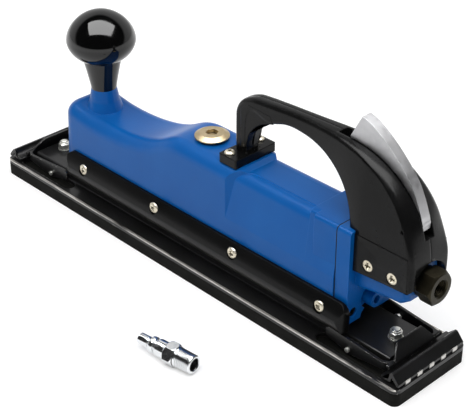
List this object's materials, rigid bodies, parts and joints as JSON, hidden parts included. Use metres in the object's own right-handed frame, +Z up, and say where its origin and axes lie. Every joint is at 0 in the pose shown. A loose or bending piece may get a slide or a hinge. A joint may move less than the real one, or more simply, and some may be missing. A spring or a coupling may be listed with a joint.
{
  "type": "straight line air sander",
  "caption": "Long straight line air sander: flat sanding shoe with sheet clips, cast body, ball knob, arched handle with throttle lever, threaded inlet, and a plug nipple beside it.",
  "frame": {"origin": "centre of the pad's sanding face", "axes": "+X along the tool towards the air inlet, +Z up out of the sanding face, -Y the side seen in the picture"},
  "size_m": [0.4068, 0.1465, 0.1674],
  "materials": {
    "blue_paint": "semi-gloss enamel",
    "black_paint": "semi-gloss, worn at the edges",
    "pad_rubber": "matt",
    "black_plastic": "satin, fine grain",
    "knob_plastic": "polished",
    "cast_aluminium": "satin",
    "plated_cream": "zinc plated, light yellow",
    "cap_brass": "yellow zinc, turned",
    "black_oxide": "black oxide, oiled",
    "bright_steel": "bright",
    "nickel": "plated",
    "seal_rubber": "matt",
    "bronze": "sintered bronze",
    "wear_plastic": "self-lubricating plastic",
    "gasket_fibre": "fibre sheet"
  },
  "bodies": {
    "tool": {"wear_strips": "wear_plastic", "pinion_shaft": "bright_steel", "shaft_plug": "black_oxide", "spool_retainer": "black_oxide", "housing": "blue_paint", "side_guide_near": "black_paint", "side_guide_far": "black_paint", "guide_screws": "plated_cream", "knob": "knob_plastic", "knob_stud": "bright_steel", "filler_cap": "cap_brass", "filler_cap_washer": "seal_rubber", "rear_head": "blue_paint", "rear_head_gasket": "gasket_fibre", "rear_head_screws": "black_oxide", "inlet_bushing": "black_oxide", "inlet_screen": "bright_steel", "valve_seat": "bronze", "valve_spring": "bright_steel", "valve_plug": "black_oxide", "handle_foot": "black_plastic", "handle_foot_screws": "plated_cream", "handle_near_half": "black_plastic", "handle_far_half": "black_plastic", "handle_cheek_screws": "plated_cream", "lever_pin": "bright_steel", "air_nipple": "nickel"},
    "shoe": {"backing_pad": "pad_rubber", "shoe_channel": "black_paint", "pad_studs": "bright_steel", "stud_spacers": "bright_steel", "stud_washers": "bright_steel", "shoe_nuts": "bright_steel", "carriage": "bright_steel", "carriage_screws": "black_oxide", "drive_key": "bright_steel", "lower_piston": "bright_steel", "lower_piston_rings": "bronze", "front_clip_pin": "bright_steel", "rear_clip_pin": "bright_steel", "front_clip_springs": "bright_steel", "rear_clip_springs": "bright_steel"},
    "counter_piston": {"upper_piston": "bright_steel", "upper_piston_rings": "bronze"},
    "pinion_gear": {"pinion": "bright_steel", "pinion_bush": "bronze"},
    "front_sheet_clip": {"front_clip": "black_paint"},
    "rear_sheet_clip": {"rear_clip": "black_paint"},
    "lever": {"throttle_lever": "cast_aluminium"},
    "valve": {"throttle_valve": "bright_steel"},
    "spool": {"reversing_spool": "bright_steel"}
  },
  "joints": [
    {"name": "shoe_stroke", "type": "slide", "parent": "tool", "child": "shoe", "axis": [1, 0, 0], "range_m": [-0.0125, 0.0125]},
    {"name": "counter_piston_stroke", "type": "slide", "parent": "tool", "child": "counter_piston", "axis": [1, 0, 0], "range_m": [-0.0125, 0.0125]},
    {"name": "pinion_turn", "type": "hinge", "parent": "tool", "child": "pinion_gear", "pos_m": [0.02, 0, 0.065], "axis": [0, 1, 0], "range_deg": [-71.7, 71.7]},
    {"name": "front_clip_lift", "type": "hinge", "parent": "shoe", "child": "front_sheet_clip", "pos_m": [-0.1555, 0, 0.015], "axis": [0, 1, 0], "range_deg": [0, 14], "stiffness_Nm_per_rad": 0.6, "springref_deg": -28.65, "deforming": ["front_clip_springs"]},
    {"name": "rear_clip_lift", "type": "hinge", "parent": "shoe", "child": "rear_sheet_clip", "pos_m": [0.1555, 0, 0.015], "axis": [0, -1, 0], "range_deg": [0, 14], "stiffness_Nm_per_rad": 0.6, "springref_deg": -28.65, "deforming": ["rear_clip_springs"]},
    {"name": "lever_press", "type": "hinge", "parent": "tool", "child": "lever", "pos_m": [0.1848, 0, 0.1125], "axis": [0, -1, 0], "range_deg": [0, 11], "stiffness_Nm_per_rad": 0.4, "springref_deg": -17.19},
    {"name": "valve_open", "type": "slide", "parent": "tool", "child": "valve", "axis": [0, 0, -1], "range_m": [0, 0.0035], "deforming": ["valve_spring"]},
    {"name": "spool_shift", "type": "slide", "parent": "tool", "child": "spool", "axis": [1, 0, 0], "range_m": [-0.003, 0.003]}
  ],
  "couplings": [
    {"joint": "counter_piston_stroke", "follows": "shoe_stroke", "ratio": -1},
    {"joint": "pinion_turn", "follows": "shoe_stroke", "rad_per_m": -100},
    {"joint": "valve_open", "follows": "lever_press", "m_per_rad": 0.0178}
  ]
}
